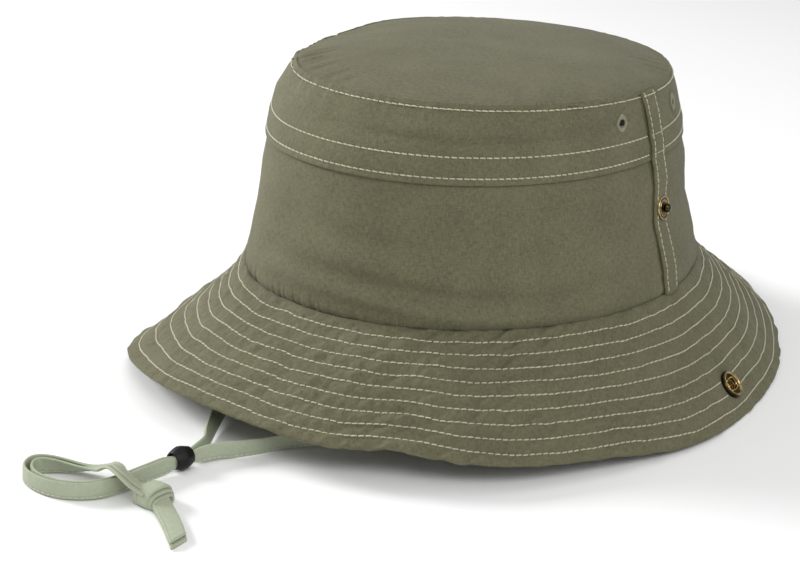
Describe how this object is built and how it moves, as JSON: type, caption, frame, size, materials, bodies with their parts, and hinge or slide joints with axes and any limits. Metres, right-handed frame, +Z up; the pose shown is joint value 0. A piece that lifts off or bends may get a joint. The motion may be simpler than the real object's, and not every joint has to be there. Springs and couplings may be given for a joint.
{
  "type": "boonie hat",
  "caption": "Soft cloth boonie hat with a stitched sloping brim whose sides fold up and snap to the crown, and a chin strap closed by a sliding bead.",
  "frame": {"origin": "on the surface the hat stands on, under the middle of the hat without its chin strap", "axes": "+X is the wearer's left, +Y is the back of the hat, -Y its front, +Z up"},
  "size_m": [0.2452, 0.3475, 0.121],
  "materials": {
    "crown_cloth": "olive green plain weave cloth, matt",
    "brim_cloth": "olive green plain weave cloth with rows of pale top stitching",
    "strap_cloth": "olive green folded cloth strip, stitched along both edges",
    "interlining": "off-white stiff interlining",
    "sweatband": "olive green twill sweatband",
    "eyelet_thread": "embroidered thread, slightly lighter than the cloth",
    "antique_brass": "antique brass, dark in the recesses and bright on the raised edges",
    "spring_wire": "brass coloured spring wire",
    "chin_tape": "pale sage woven tape, stitched along one edge",
    "bead_plastic": "black moulded plastic, semi-matt"
  },
  "bodies": {
    "hat": {"crown_tip": "crown_cloth", "crown_upper_front": "crown_cloth", "crown_upper_back": "crown_cloth", "crown_lower_front": "crown_cloth", "crown_lower_back": "crown_cloth", "sweatband": "sweatband", "side_strap_left": "strap_cloth", "side_strap_right": "strap_cloth", "brim_upper_front": "brim_cloth", "brim_upper_back": "brim_cloth", "brim_interlining_front": "interlining", "brim_interlining_back": "interlining", "brim_under_front": "brim_cloth", "brim_under_back": "brim_cloth", "snap_stud_left": "antique_brass", "snap_stud_right": "antique_brass", "snap_post_left": "antique_brass", "snap_post_right": "antique_brass", "eyelets_left": "eyelet_thread", "eyelets_right": "eyelet_thread", "chin_strap_left": "chin_tape", "chin_strap_right": "chin_tape", "strap_knot": "chin_tape", "strap_tails": "chin_tape"},
    "side_brim_left": {"side_brim_left_upper": "brim_cloth", "side_brim_left_interlining": "interlining", "side_brim_left_under": "brim_cloth", "snap_socket_left": "antique_brass", "snap_cap_left": "antique_brass", "snap_spring_left": "spring_wire"},
    "side_brim_right": {"side_brim_right_upper": "brim_cloth", "side_brim_right_interlining": "interlining", "side_brim_right_under": "brim_cloth", "snap_socket_right": "antique_brass", "snap_cap_right": "antique_brass", "snap_spring_right": "spring_wire"},
    "cord_bead": {"cord_bead": "bead_plastic"}
  },
  "joints": [
    {"name": "side_brim_left_fold", "type": "hinge", "parent": "hat", "child": "side_brim_left", "pos_m": [0.08968, 0, 0.03646], "axis": [0, -1, 0], "range_deg": [0, 144.8], "stiffness_Nm_per_rad": 0.04, "springref_deg": -68.75},
    {"name": "side_brim_right_fold", "type": "hinge", "parent": "hat", "child": "side_brim_right", "pos_m": [-0.08968, 0, 0.03646], "axis": [0, 1, 0], "range_deg": [0, 144.8], "stiffness_Nm_per_rad": 0.04, "springref_deg": -68.75},
    {"name": "cord_bead_slide", "type": "slide", "parent": "hat", "child": "cord_bead", "axis": [-0.1813, -0.9834, 0], "range_m": [0, 0.01]}
  ]
}
